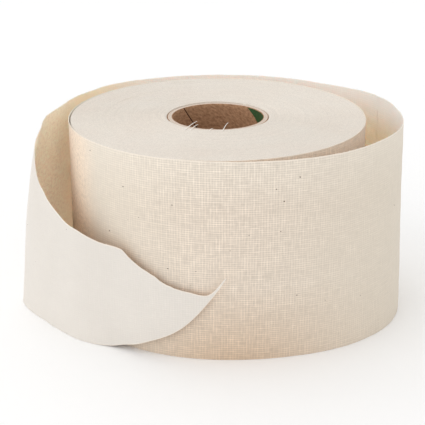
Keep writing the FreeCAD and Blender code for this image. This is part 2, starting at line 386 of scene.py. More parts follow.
def smoothKraftLiner():
    # Unbleached kraft paper, calendered: mid brown with darker clouds and short pale fibres
    look = kraft
    finish = {"Roughness": 0.72, "Specular_IOR_Level": 0.3}
    material, tree, shader = newMaterial("smoothKraftLiner", **finish)
    place = placeInMillimetres(tree, "wall")
    mottle = grainAt(tree, place, (look["mottle"], look["mottle"], 1), detail=4.0)
    long = grainAt(tree, place, (look["fibreLength"], look["fibreWidth"], 1), detail=1.0)
    cross = grainAt(tree, place, (look["fibreWidth"], look["fibreLength"], 1), detail=1.0)
    span = {0: mottle, 1: wideLow, 2: wideHigh, 3: 0.0, 4: 1.0}
    clouds = addNode(tree, "ShaderNodeMapRange", span)
    fibre = addNode(tree, "ShaderNodeMath", {0: long, 1: cross}, operation="MAXIMUM")
    start, full = look["fibreShows"]
    span = {0: fibre, 1: start, 2: full, 3: 0.0, 4: look["fibreShare"]}
    fibre = addNode(tree, "ShaderNodeMapRange", span)
    join = addNode(tree, "ShaderNodeAttribute", output=2, attribute_name="seam")
    base = linearColour(look["dark"])
    for share, tint in ((clouds, "face"), (fibre, "light"), (join, "seam")):
        mix = {0: share, 6: base, 7: linearColour(look[tint])}
        base = addNode(tree, "ShaderNodeMix", mix, output=2, data_type="RGBA")
    tree.links.new(base, shader.inputs["Base Color"])
    height = addNode(tree, "ShaderNodeMath", {0: mottle, 1: long}, operation="ADD")
    bump = {"Strength": 0.35, "Distance": 0.0001, "Height": height}
    tree.links.new(addNode(tree, "ShaderNodeBump", bump), shader.inputs["Normal"])
    return material


def twoToneMaterial(name, look):
    # Two colours mixed by one grain, which also roughens a surface that has relief
    material, tree, shader = newMaterial(name, **look["finish"])
    place = placeInMillimetres(tree, look["map"])
    grain = grainAt(tree, place, look["grain"], look["detail"])
    low, high = look["range"]
    share = addNode(tree, "ShaderNodeMapRange", {0: grain, 1: low, 2: high, 3: 0.0, 4: 1.0})
    mix = {0: share, 6: linearColour(look["dark"]), 7: linearColour(look["light"])}
    base = addNode(tree, "ShaderNodeMix", mix, output=2, data_type="RGBA")
    tree.links.new(base, shader.inputs["Base Color"])
    if look["relief"]:
        bump = {"Strength": look["relief"], "Distance": 0.0001, "Height": grain}
        tree.links.new(addNode(tree, "ShaderNodeBump", bump), shader.inputs["Normal"])
    return material


# Recycled board in plies, knife-cut: soft pinkish grey with flecks of other papers
greyChipboard = {
    "finish": {"Roughness": 0.9, "Specular_IOR_Level": 0.2},
    "dark": "D3C2B2", "light": "E6D9CC", "relief": 0.5,
    "map": "wall", "grain": (0.9, 0.5, 1), "detail": 4.0, "range": (0.35, 0.7),
}

# Coated label paper printed solid green: a little shine, with the ink thin in places
printedGreenPaper = {
    "finish": {"Roughness": 0.5, "Coat_Weight": 0.1},
    "dark": "2A552E", "light": "3F6C40", "relief": 0.3,
    "map": "wall", "grain": (1.6, 0.7, 1), "detail": 3.0, "range": (0.45, 0.75),
}

# Double-sided tissue tape: hazy off-white with the tissue's fibres showing
tissueTape = {
    "finish": {"Roughness": 0.4, "Coat_Weight": 0.2},
    "dark": "E3DDCB", "light": "F4F0E4", "relief": 0,
    "map": None, "grain": (0.4, 0.4, 3.0), "detail": 3.0, "range": (0.0, 1.0),
}

# Loose yarn and fibre pulled out at a cut: nearly white, partly painted light for the light they
# catch and let through
spunCottonEnds = {
    "finish": {"Roughness": 0.85, "Sheen_Weight": 0.3},
    "dark": "FAF2E6", "light": "FFFDF8", "relief": 0,
    "map": None, "grain": (0.25, 0.25, 0.25), "detail": 2.0, "range": (0.0, 1.0),
}

# Flakes of cotton seed husk caught in the weave: dark brown, woody and matt
crushedSeedHusk = {
    "finish": {"Roughness": 0.8},
    "dark": "3A2A20", "light": "6B5340", "relief": 0,
    "map": None, "grain": (0.2, 0.2, 0.2), "detail": 2.0, "range": (0.0, 1.0),
}

cotton = plainWovenUnbleachedCotton()
layerEnds = cutCottonLayers()
liner = smoothKraftLiner()
board = twoToneMaterial("greyChipboard", greyChipboard)
labelPaper = twoToneMaterial("printedGreenPaper", printedGreenPaper)
yarnEnds = twoToneMaterial("spunCottonEnds", spunCottonEnds)
husk = twoToneMaterial("crushedSeedHusk", crushedSeedHusk)
tape = twoToneMaterial("tissueTape", tissueTape)
print("materials made")


strip = {
    "width": 88.9,
    "thickness": 0.27,
    "rollRadius": 66.5,
    "layerGap": 0.05,
    "lastTurnBulge": 0.6,
    "bulgeFrom": 135,         # the last tight turn stands off between these angles
    "bulgeTo": 225,
    "liftOff": -105,          # where the last tight turn ends and the loose turn starts
    "cell": 1.1,              # the size of the mesh's faces
    "stationEvery": 15,       # degrees between the last tight turn's stations
    "readings": 60,           # how often the smooth line is read between two stations
    "edgeLoosens": (-95, -40),
    "kinkHold": 6,            # the higher, the nearer to the upper edge its kinks stay
    "heaviestWave": 0.2,      # how far loose cloth leaves its smooth line
    "freeRoom": (0.4, 7.0),   # the stand-off at which the cloth starts to wave and waves fully
    "edgeWave": 0.1,
    "edgeDepth": 3.5,         # how far down from the upper edge it curls
    "foldAt": (168, 184, 192, 212),   # where the fold starts, is full, fades and ends
    "belly": 2.9,             # how far the tail's fold swells out
    "bellyHigh": 1.4,         # above 1 the swelling is more than half way up
    "tipAt": (267, 272),      # the point's last few millimetres curl away from the roll
    "tipCurl": 0.9,
    "rimBulge": 0.07,
    "rimRoughness": (0.3, 1.6),
    "endGap": 0.012,          # two runs of the strip stop this far short of where they meet
}

# How uneven the strip is: the height of its waves, the shortest and the longest of them, how
# many are added up, and the seed of their draws
unevenness = {
    "looseEdge": (0.05, 5, 26, 12, 3),
    "cutEdge": (0.02, 2.4, 7, 14, 4),
    "broad": (0.75, 26, 70, 14, 11),
    "narrow": (0.25, 9, 24, 16, 12),
    "edgeCurl": (1.0, 7, 30, 14, 15),
    "fine": (0.02, 4, 14, 18, 17),
}

# Where the loose turn goes, station by station: angle and stand-off from the roll's radius to
# the middle of the cloth at its lower edge, then at its upper edge, then the heights of the two
# edges as shares of the width.
looseTurn = [
    (-90, 0.7, -90, 1.1), (-76, 2.2, -76, 2.6), (-62, 5.3, -62, 5.3), (-48, 9.7, -48, 8.8),
    (-36, 13.8, -36, 11.1), (-24, 17.3, -24, 13.8), (-12, 18.9, -12, 16.2), (2, 18.6, 2, 16.7),
    (16, 17.5, 16, 17.0), (28, 16.2, 28, 16.0), (38, 13.0, 38, 12.4), (50, 10.2, 50, 9.8),
    (64, 8.7, 64, 8.9), (77, 7.6, 77, 7.8), (90, 6.6, 90, 6.6), (104, 7.0, 104, 6.8),
    (118, 7.8, 118, 7.2), (132, 9.4, 132, 9.0), (146, 11.4, 146, 8.1), (158, 14.3, 158, 8.0),
    (168, 18.6, 169, 7.9), (177, 23.4, 179, 10.0), (184, 25.9, 187, 11.9, 0.0, 0.996),
    (190, 23.6, 193, 13.8, 0.0, 0.975), (195, 20.6, 197.3, 17.0, 0.0, 0.925),
    (200, 17.6, 200, 17.6, 0.0, 0.79), (203.4, 16.3, 203.4, 16.3, 0.0, 0.722),
    (206.6, 15.2, 206.6, 15.2, 0.0, 0.677), (213.8, 13.1, 213.8, 13.1, 0.0, 0.615),
    (219, 11.5, 219, 11.5, 0.0, 0.588), (225, 8.5, 225, 8.5, 0.001, 0.557),
    (230.5, 5.8, 230.5, 5.8, 0.008, 0.540), (235, 4.5, 235, 4.5, 0.027, 0.526),
    (240, 3.8, 240, 3.8, 0.045, 0.477), (246, 3.3, 246, 3.3, 0.08, 0.432),
    (253, 2.9, 253, 2.9, 0.126, 0.380), (260, 2.8, 260, 2.8, 0.2, 0.358),
    (266, 2.9, 266, 2.9, 0.296, 0.346), (269.5, 3.2, 269.5, 3.2, 0.362, 0.382),
    (272, 3.9, 272, 3.9, 0.418, 0.430), (273, 4.3, 273, 4.3, 0.443, 0.449),
]

# Small corners that the scissors left along the upper edge: angle, height and half width
scissorKinks = [
    (190.5, 0.15, 1.2), (204.5, 0.15, 1.2), (235.5, 0.55, 2.4), (243.5, -0.15, 1.6),
    (248, 0.35, 1.5), (253.5, 0.25, 1.3), (258, -0.15, 1.5),
]

# Creases pressed into the loose cloth: from (angle, height) to (angle, height), then its
# depth and half width
creases = [
    (166, 62, 174, 74, 0.5, 1.6), (171, 46, 178, 57, 0.4, 1.8), (160, 50, 168, 58, 0.3, 1.4),
    (118, 40, 131, 62, 0.3, 2.2), (60, 30, 74, 44, 0.25, 2.0), (30, 52, 38, 60, 0.25, 1.8),
    (208, 22, 222, 31, 0.28, 2.4), (213, 40, 226, 33, 0.2, 2.2), (-30, 22, -18, 30, 0.15, 2.2),
]


def waves(kind, across, along):
    height, *spread = unevenness[kind]
    return height * ripples(across, along, *spread)


def lastTurnStations():
    # The last tight turn climbs by one layer and stands off a little at the far left
    stations = []
    for turned in range(0, 360, strip["stationEvery"]):
        angle = strip["liftOff"] + turned
        climb = strip["thickness"] + strip["layerGap"]
        gap = climb * turned / 360 - strip["thickness"] / 2
        if strip["bulgeFrom"] < angle < strip["bulgeTo"]:
            share = (angle - strip["bulgeFrom"]) / (strip["bulgeTo"] - strip["bulgeFrom"])
            gap += strip["lastTurnBulge"] * math.sin(share * math.pi) ** 2
        stations.append((angle - 360, gap, angle - 360, gap))
    endGap = strip["layerGap"] + strip["thickness"] / 2
    stations.append((strip["liftOff"], endGap, strip["liftOff"], endGap))
    return stations


def edgeLine(stations, first):
    points = []
    for station in stations:
        angle = math.radians(station[first])
        radius = strip["rollRadius"] + station[first + 1]
        shares = station[4:] or (0.0, 1.0)
        height = shares[first // 2] * strip["width"]
        points.append((radius * math.cos(angle), radius * math.sin(angle), height))
    return np.array(points)


def layOutStrip():
    # The whole strip from the start of its last tight turn to its point, as one grid of
    # columns along it and rows up it. Returns the faces' points and what belongs to them.
    stations = lastTurnStations() + looseTurn
    places = np.linspace(0, len(stations) - 1, (len(stations) - 1) * strip["readings"] + 1)
    lower = smoothCurve(edgeLine(stations, 0), places)
    upper = smoothCurve(edgeLine(stations, 2), places)
    meanAngle = np.array([(s[0] + s[2]) / 2 for s in stations], dtype=float)
    steps = [np.linalg.norm(np.diff(line[:, :2], axis=0), axis=1) for line in (lower, upper)]
    run = np.concatenate([[0], np.cumsum((steps[0] + steps[1]) / 2)])
    columns = round(run[-1] / strip["cell"]) + 1
    rows = round(strip["width"] / strip["cell"]) + 1
    along = np.linspace(0, run[-1], columns)
    lower = np.stack([np.interp(along, run, lower[:, i]) for i in range(3)], axis=1)
    upper = np.stack([np.interp(along, run, upper[:, i]) for i in range(3)], axis=1)
    angle = np.interp(np.interp(along, run, places), np.arange(len(stations)), meanAngle)
    up = np.linspace(0, 1, rows)[None, :, None]
    middle = lower[:, None] * (1 - up) + upper[:, None] * up
    share = up[..., 0]
    run = np.repeat(along[:, None], rows, axis=1)
    height = middle[..., 2].copy()
    angles = np.repeat(angle[:, None], rows, axis=1)
    # The upper edge: kinks from the scissors, and a faint unevenness
    edgeShift = np.zeros(columns)
    for at, rise, half in scissorKinks:
        edgeShift += rise * np.clip(1 - np.abs(angle - at) / half, 0, 1)
    edgeShift += ramp(angle, *strip["edgeLoosens"]) * waves("looseEdge", along, 0 * along)
    edgeShift += waves("cutEdge", along, 0 * along)
    tall = np.clip((upper[:, 2] - lower[:, 2]) / strip["width"], 0.02, 1)
    edgeShift *= np.clip(tall * 4, 0, 1)
    middle[..., 2] += edgeShift[:, None] * share ** strip["kinkHold"]
    outward = gridNormals(middle)
    room = np.hypot(middle[..., 0], middle[..., 1]) - strip["rollRadius"]
    ease = ramp(room, *strip["freeRoom"]) * np.where(angles < strip["liftOff"] + 1, 0, 1)
    wave = waves("broad", run, height * 0.55) + waves("narrow", run, height)
    push = strip["heaviestWave"] * ease * wave
    fromTop = (1 - share) * tall[:, None] * strip["width"]
    curl = waves("edgeCurl", along, 0 * along)[:, None]
    push += strip["edgeWave"] * ease * curl * np.exp(-fromTop / strip["edgeDepth"])
    push += waves("fine", run, height)
    for fromAngle, fromHeight, toAngle, toHeight, depth, half in creases:
        push -= depth * ease * creaseShape(angles, height, run, (fromAngle, fromHeight),
                                           (toAngle, toHeight), half)
    fold = between(angles, *strip["foldAt"])
    push += strip["belly"] * fold * np.sin(math.pi * share ** strip["bellyHigh"])
    push += strip["tipCurl"] * ramp(angles, *strip["tipAt"]) ** 2
    middle += outward * push[..., None]
    outward = gridNormals(middle)
    half = outward * strip["thickness"] / 2
    # The lower edge counts as a cut only where the scissors ran, so elsewhere it is far from one
    wovenEdge = np.where(lower[:, 2] > 0.05, 0.0, 9.0)[:, None]
    fromCut = np.minimum(fromTop, share * tall[:, None] * strip["width"] + wovenEdge)
    return {
        "outer": middle + half, "inner": middle - half, "outward": outward, "angle": angle,
        "run": run, "height": height, "cut": fromCut,
    }


def gridNormals(points):
    along = np.gradient(points, axis=0)
    upward = np.gradient(points, axis=1)
    normal = np.cross(along, upward)
    return normal / np.linalg.norm(normal, axis=2, keepdims=True)


def creaseShape(angles, height, run, start, end, half):
    # 1 along the crease's line, falling off to the sides and towards both ends
    column = np.interp([start[0], end[0]], angles[:, 0], run[:, 0])
    line = np.array([column[1] - column[0], end[1] - start[1]])
    length = np.linalg.norm(line)
    line = line / length
    fromRun, fromHeight = run - column[0], height - start[1]
    forward = (fromRun * line[0] + fromHeight * line[1]) / length
    aside = fromHeight * line[0] - fromRun * line[1]
    ends = between(forward, -0.15, 0.3, 0.7, 1.15)
    return ends * np.exp(-(aside / half) ** 2)


def clothPiece(name, cloth, fromAngle, toAngle):
    # A run of the strip between two angles, as a closed skin: both faces, both rims, both ends
    first, last = np.searchsorted(cloth["angle"], [fromAngle, toAngle])
    cut = slice(first, last + 1)
    outer, inner = cloth["outer"][cut], cloth["inner"][cut][:, ::-1]
    columns, rows = outer.shape[:2]
    bulge = np.array([0, 0, strip["rimBulge"]])
    draws = np.random.default_rng(columns)
    rough = draws.uniform(*strip["rimRoughness"], (columns, 1))
    topRim = (outer[:, -1] + inner[:, 0]) / 2 + bulge * rough
    lowRim = (outer[:, 0] + inner[:, -1]) / 2
    cutLow = lowRim[:, 2] > 0.1
    lowRim[cutLow] -= bulge
    ring = np.concatenate([outer, topRim[:, None], inner, lowRim[:, None]], axis=1)
    ring[0] += (ring[1] - ring[0]) * strip["endGap"] / strip["cell"]
    ring[-1] += (ring[-2] - ring[-1]) * strip["endGap"] / strip["cell"]
    around = ring.shape[1]
    run, height = cloth["run"][cut], cloth["height"][cut]
    flat = np.stack([run, height], axis=2)
    flatRing = np.concatenate([flat, flat[:, -1:], flat[:, ::-1], flat[:, :1]], axis=1)
    away = cloth["cut"][cut]
    awayRing = np.concatenate([away, away[:, -1:] * 0, away[:, ::-1], away[:, :1]], axis=1)
    index = np.arange(columns * around).reshape(columns, around)
    here, ahead = index[:-1], index[1:]
    skin = np.stack([here, ahead, np.roll(ahead, -1, 1), np.roll(here, -1, 1)], axis=2)
    faces = skin.reshape(-1, 4).tolist()
    for column, flip in ((0, False), (columns - 1, True)):
        ends = endFaces(index[column], rows)
        faces += [face[::-1] for face in ends] if flip else ends
    bake = bakeLayout(columns, rows, faces)
    length = run[-1, 0] - run[0, 0]
    steps = np.diff(run[:, 0])
    tall = height[:, -1] - height[:, 0]
    area = float(np.sum(steps * (tall[1:] + tall[:-1]) / 2))
    span = float(height.max() - height.min())
    maps = {"cloth": flatRing.reshape(-1, 2) / metre, "OFBake": bake}
    marks = clothMarks(cloth["angle"][cut], flatRing[..., 1], rows)
    marks["cutDistance"] = awayRing.ravel()
    piece = makeMesh(name, ring.reshape(-1, 3), faces, maps, marks)
    piece.data.materials.append(cotton)
    return piece, (span / metre, float(length) / metre), area / metre ** 2


# Where the light finds the cloth: the angles between which each effect starts, is full, fades
# and ends
lightOnCloth = {
    "leftFold": (148, 172, 205, 222),
    "rightGap": (262, 285, 340, 358),
    "rightShare": 0.8,
    "warmthLostAbove": 0.4,
    "openSide": (-88, -60, 110, 150),
    "openHeights": (68, 88),
    "openShare": 0.9,
    "plainestAt": -85,        # the angle where the weave shows most, and how far to each side
    "plainSpread": 42,
    "plainAlways": 0.2,
    "tailAt": (176, 200),     # the tail's end shows less of its yarns: painted light, as the light it faces washes them out
    "tailLoses": 0.75,
}


def clothMarks(angle, height, rows):
    # What the cloth's material reads at each point of the skin: whether it is a loose inner face,
    # how deep it lies in a warm fold, how open to the light, and how plainly its weave shows
    inside = np.arange(height.shape[1])[None, :] > rows
    loose = angle[:, None] > strip["liftOff"]
    inner = (inside & loose) * 1.0
    light = lightOnCloth
    left = between(angle % 360, *light["leftFold"])
    right = between(angle % 360, *light["rightGap"])
    tightFace = (~inside & ~loose) * (left + light["rightShare"] * right)[:, None]
    warmth = inner * left[:, None] + tightFace
    warmth = warmth * (1 - light["warmthLostAbove"] * height / strip["width"])
    openSide = between(angle, *light["openSide"])[:, None]
    airy = light["openShare"] * inner * openSide * ramp(height, *light["openHeights"])
    fromFront = (angle - light["plainestAt"] + 180) % 360 - 180
    nearFront = np.exp(-(fromFront / light["plainSpread"]) ** 2)
    plain = light["plainAlways"] + (1 - light["plainAlways"]) * nearFront
    # The tail's end shows less weave: painted light
    plain = plain * (1 - light["tailLoses"] * ramp(angle, *light["tailAt"]))
    plain = plain[:, None] + 0 * height
    marks = {"innerFace": inner, "warmth": warmth, "airy": airy, "plainness": plain}
    return {name: values.ravel() for name, values in marks.items()}


def endFaces(ring, rows):
    # Closes one end of a cloth's skin between its outer and inner faces
    outer, inner = ring[:rows], ring[rows + 1:2 * rows + 1][::-1]
    faces = [[int(outer[-1]), int(ring[rows]), int(inner[-1])]]
    faces += [[int(inner[0]), int(ring[-1]), int(outer[0])]]
    for row in range(rows - 1):
        quad = (outer[row], outer[row + 1], inner[row + 1], inner[row])
        faces.append([int(corner) for corner in quad])
    return faces


# How the faces of one run are laid out for a bake, as shares of the layout's size
bands = {
    "margin": 0.01,
    "faceHeight": 0.46,
    "innerFace": 0.53,
    "topRim": 0.48,
    "lowRim": 0.50,
    "rimStep": 0.005,
    "endStarts": (0.75, 0.25),
    "endLength": 0.2,
    "endHeights": (0.517, 0.521),
}


def bakeLayout(columns, rows, faces):
    # Where each corner goes in the layout: outer face below, inner face above, the rims in two
    # thin bands between them, and the two ends in short strips between those
    around = 2 * rows + 2
    values = np.zeros((sum(len(face) for face in faces), 2))
    corner = 0
    for face in faces:
        column = [vertex // around for vertex in face]
        row = [vertex % around for vertex in face]
        if max(column) == min(column):
            start = bands["endStarts"][1 if column[0] else 0]
            values[corner:corner + len(face)] = endSpots(row, rows, start)
        else:
            width = 1 - 2 * bands["margin"]
            shares = [bands["margin"] + width * c / (columns - 1) for c in column]
            values[corner:corner + len(face), 0] = shares
            values[corner:corner + len(face), 1] = [bandHeight(r, row, rows) for r in row]
        corner += len(face)
    return values


def bandHeight(row, face, rows):
    # How high a face's corner lies in the layout, by the part of the skin that the face is on
    if max(face) < rows:
        return bands["margin"] + bands["faceHeight"] * row / (rows - 1)
    if min(face) > rows and max(face) <= 2 * rows:
        return bands["innerFace"] + bands["faceHeight"] * (row - rows - 1) / (rows - 1)
    if min(face) >= rows - 1 and max(face) <= rows + 1:
        return bands["topRim"] + bands["rimStep"] * (row - rows + 1)
    step = {2 * rows: 0, 2 * rows + 1: 1}.get(row, 2)
    return bands["lowRim"] + bands["rimStep"] * step


def endSpots(ringRows, rows, start):
    spots = []
    for row in ringRows:
        outside = row < rows
        up = row if outside else 2 * rows - row
        share = min(max(up / (rows - 1), 0), 1)
        across = start + bands["endLength"] * share
        spots.append((across, bands["endHeights"][0 if outside else 1]))
    return spots


cloth = layOutStrip()

# Each run of the strip: from and to which angle, what it stands for, and what it rides on or
# bends between, with the way it runs where it bends
runs = {
    "tight_last_turn": {
        "span": (strip["liftOff"] - 360, strip["liftOff"]),
        "nodes": ["last_wound_turn"], "body": "roll", "held": "stretched",
        "on": ["wound_cloth"],
    },
    "loose_front_run": {
        "span": (strip["liftOff"], 22), "nodes": ["loose_turn_front"], "body": "roll",
        "held": "folded", "on": ["tight_last_turn"],
    },
    "loose_back_run": {
        "span": (22, 148), "nodes": ["loose_turn_front"], "joint": "back_bend",
        "way": (-1.0, 0.0), "held": "folded", "on": ["loose_front_run"],
    },
    "loose_left_run": {
        "span": (148, 223), "nodes": ["loose_turn_left"], "joint": "left_bend",
        "way": (0.57, -0.82), "held": "folded", "on": ["loose_back_run"],
    },
    "cut_tail": {
        "span": (223, 273), "nodes": ["tail", "tail_point"], "joint": "point_bend",
        "way": (0.9135, -0.4067), "held": "folded", "on": ["loose_left_run"],
    },
}


def hold(piece, run):
    # Rides the piece on its body, or else sets its place into its mesh's points
    if "body" in run:
        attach(piece, run["body"])
        return
    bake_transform(piece)


def tubePoints(path, radius, sides, tip=0.5):
    # Rings round a path of points, the last one smaller, for a yarn or a fibre
    path = np.asarray(path, dtype=float)
    heading = np.gradient(path, axis=0)
    heading /= np.linalg.norm(heading, axis=1, keepdims=True)
    side = np.cross(heading, np.array([0.31, -0.52, 0.79]))
    side /= np.linalg.norm(side, axis=1, keepdims=True)
    other = np.cross(heading, side)
    turn = np.arange(sides) * math.tau / sides
    size = radius * np.linspace(1, tip, len(path))[:, None, None]
    cosine, sine = np.cos(turn)[None, :, None], np.sin(turn)[None, :, None]
    ring = side[:, None] * cosine + other[:, None] * sine
    return path[:, None] + ring * size


def tubeFaces(rings, sides, start):
    faces = []
    for ring in range(rings - 1):
        for side in range(sides):
            near, nextSide = start + ring * sides, (side + 1) % sides
            far = near + sides
            faces.append([near + side, near + nextSide, far + nextSide, far + side])
    end = start + (rings - 1) * sides
    faces.append([start + side for side in reversed(range(sides))])
    faces.append([end + side for side in range(sides)])
    return faces


def bundleOfTubes(name, paths, radii, sides, material):
    points, faces = [], []
    for path, radius in zip(paths, radii):
        rings = tubePoints(path, radius, sides)
        faces += tubeFaces(len(path), sides, sum(len(p) for p in points))
        points.append(rings.reshape(-1, 3))
    piece = makeMesh(name, np.concatenate(points), faces, sharpAbove=80)
    piece.data.materials.append(material)
    return piece


fringe = {
    "perMillimetre": 1.1,
    "shortest": 0.2,
    "longest": 1.3,           # beyond the shortest
    "radius": 0.028,
    "sides": 3,
    "lean": (0.7, 0.5),       # how widely they lean, along the edge and out of the cloth
    "bow": (0.4, 0.3),
}


def edgeFibres(name, fromAngle, toAngle, seed):
    # Fibre ends that stand out of the cut edges, each a short bent hair
    draws = np.random.default_rng(seed)
    first, last = np.searchsorted(cloth["angle"], [fromAngle, toAngle])
    length = cloth["run"][last, 0] - cloth["run"][first, 0]
    middle = (cloth["outer"] + cloth["inner"]) / 2
    paths, radii = [], []
    for _ in range(int(length * fringe["perMillimetre"])):
        column = draws.integers(first + 1, last - 1)
        below = middle[column, 0, 2] > 0.5 and draws.random() < 0.5
        row, upward = (0, -1) if below else (-1, 1)
        root = middle[column, row] - np.array([0, 0, upward * 0.1])
        along = middle[column + 1, row] - middle[column, row]
        along /= np.linalg.norm(along)
        outward = cloth["outward"][column, row]
        aside, out = fringe["lean"]
        lean = along * draws.normal(0, aside) + outward * draws.normal(0, out)
        heading = np.array([0, 0, upward]) + lean
        aside, out = fringe["bow"]
        bow = along * draws.normal(0, aside) + outward * draws.normal(0, out)
        reach = fringe["shortest"] + fringe["longest"] * draws.random() ** 3
        shares = np.linspace(0, 1, 4)[:, None]
        paths.append(root + heading * shares * reach + bow * reach * shares ** 2)
        radii.append(fringe["radius"] * draws.uniform(0.6, 1.2))
    return bundleOfTubes(name, paths, radii, fringe["sides"], yarnEnds)


fleck = {
    "perSquareCm": 0.055,
    "smallest": 0.16,
    "largest": 0.34,
    "thickness": 0.09,
    "sides": 8,
    "levels": ((-0.2, 1.0), (0.6, 0.75)),   # each layer's height and size, as shares
    "onOuterFace": 0.6,
}

# The dark flecks that stand out on the front: angle, height and half width
frontFlecks = [
    (-108.7, 41.0, 0.42), (-134.1, 51.7, 0.36), (-106.6, 69.1, 0.32), (-98.8, 40.7, 0.26),
    (-70.8, 77.2, 0.38), (-67.5, 70.9, 0.44), (-68.9, 57.7, 0.3), (-20, 56, 0.33),
    (-62.9, 29.0, 0.34), (-52.9, 24.3, 0.24), (-39.2, 22.4, 0.24), (-86, 51, 0.2), (-120, 61, 0.2),
]


def huskFlecks(name, spots, seed):
    # Thin uneven flakes pressed on the cloth: spots are (column, row, half width, outer face)
    draws = np.random.default_rng(seed)
    points, faces = [], []
    sides = fleck["sides"]
    for column, row, half, outside in spots:
        side = "outer" if outside else "inner"
        normal = cloth["outward"][column, row] * (1 if outside else -1)
        across = np.cross(normal, [0, 0, 1.0])
        across /= np.linalg.norm(across)
        upward = np.cross(normal, across)
        centre = cloth[side][column, row]
        start = len(points)
        turn = draws.uniform(0, math.tau)
        squeeze = draws.uniform(0.5, 0.9)
        for level, size in fleck["levels"]:
            for step in range(sides):
                at = turn + step * math.tau / sides
                reach = half * size * draws.uniform(0.75, 1.2)
                spot = across * math.cos(at) * reach + upward * math.sin(at) * reach * squeeze
                points.append(centre + spot + normal * fleck["thickness"] * level)
        faces += tubeFaces(2, sides, start)
    piece = makeMesh(name, points, faces, sharpAbove=60)
    piece.data.materials.append(husk)
    return piece


def scatterFlecks(fromAngle, toAngle, seed):
    draws = np.random.default_rng(seed)
    first, last = np.searchsorted(cloth["angle"], [fromAngle, toAngle])
    length = cloth["run"][last, 0] - cloth["run"][first, 0]
    count = max(2, int(length * strip["width"] / 100 * fleck["perSquareCm"]))
    rows = cloth["outer"].shape[1]
    spots = []
    for _ in range(count):
        half = fleck["smallest"] + (fleck["largest"] - fleck["smallest"]) * draws.random() ** 2
        column = draws.integers(first + 2, last - 2)
        row = draws.integers(4, rows - 4)
        spots.append((column, row, half, draws.random() < fleck["onOuterFace"]))
    return spots


def chosenFlecks(fromAngle, toAngle):
    # The front flecks that lie on this run: they show on the loose cloth, or on the tight turn
    spots = []
    rows = cloth["outer"].shape[1]
    for angle, height, half in frontFlecks:
        column = int(np.searchsorted(cloth["angle"], angle))
        if fromAngle < angle < toAngle:
            spots.append((column, int(round(height / strip["width"] * (rows - 1))), half, True))
    return spots


for number, (name, run) in enumerate(runs.items()):
    piece, flat, area = clothPiece(name, cloth, *run["span"])
    hold(piece, run)
    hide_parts(*run["nodes"])
    fibres = edgeFibres(f"{name}_fibres", *run["span"], seed=40 + number)
    hold(fibres, run)
    spots = chosenFlecks(*run["span"])
    if name != "cut_tail":
        spots += scatterFlecks(*run["span"], seed=60 + number)
    if spots:
        flecks = huskFlecks(f"{name}_flecks", spots, seed=80 + number)
        hold(flecks, run)
    print(name, "made, flat", [round(side * metre, 1) for side in flat])


winding = {
    "turns": 161,
    "stepsPerTurn": 96,
    "profile": (0.0, 0.2, 0.8),    # across one layer: the groove before it, then its two corners
    "grooveDepth": 0.07,
    "baseDrop": 0.1,
    "unevenness": 0.035,
    "ripple": (0.03, 6, 22, 16, 22),   # height, shortest and longest wave, how many, seed
    "sunkArcs": 26,
    "sunkDepth": 0.22,
    "sunkSpan": (5, 24),
    "slidDepth": 0.75,         # how far the first layers have slid down beside the core
    "slidTurns": 1.6,
    "firstTurnDrop": 0.1,
    "undersideShare": 0.35,
    "mapRepeat": 2000,         # how far along the strip its map goes before it starts again
}


def windingHeights(turn, angle, corner):
    # How far each layer's edge stands below the strip's full width
    draws = np.random.default_rng(21)
    low = np.full(turn.shape, winding["baseDrop"])
    perTurn = draws.normal(0, winding["unevenness"], winding["turns"] + 2)
    low += np.abs(perTurn[np.clip(turn.astype(int), 0, winding["turns"])])
    rise, *spread = winding["ripple"]
    low += rise * ripples(turn * strip["thickness"], angle * 0.6, *spread)
    for _ in range(winding["sunkArcs"]):
        layer = draws.integers(4, winding["turns"] - 2)
        start, span = draws.uniform(0, 360), draws.uniform(*winding["sunkSpan"])
        deep = winding["sunkDepth"] * draws.uniform(0.25, 1.0)
        inside = (angle - start) % 360 / span
        arc = np.clip(np.sin(np.clip(inside, 0, 1) * math.pi), 0, 1)
        low += deep * arc * (np.abs(turn - layer - 0.5) < draws.choice([0.5, 1.5]))
    # The first layers have slid down beside the core, most at its two sides
    slid = np.cos(np.radians(angle)) ** 2 * np.exp(-turn / winding["slidTurns"])
    low += winding["slidDepth"] * slid
    return low + winding["grooveDepth"] * (corner == 0)


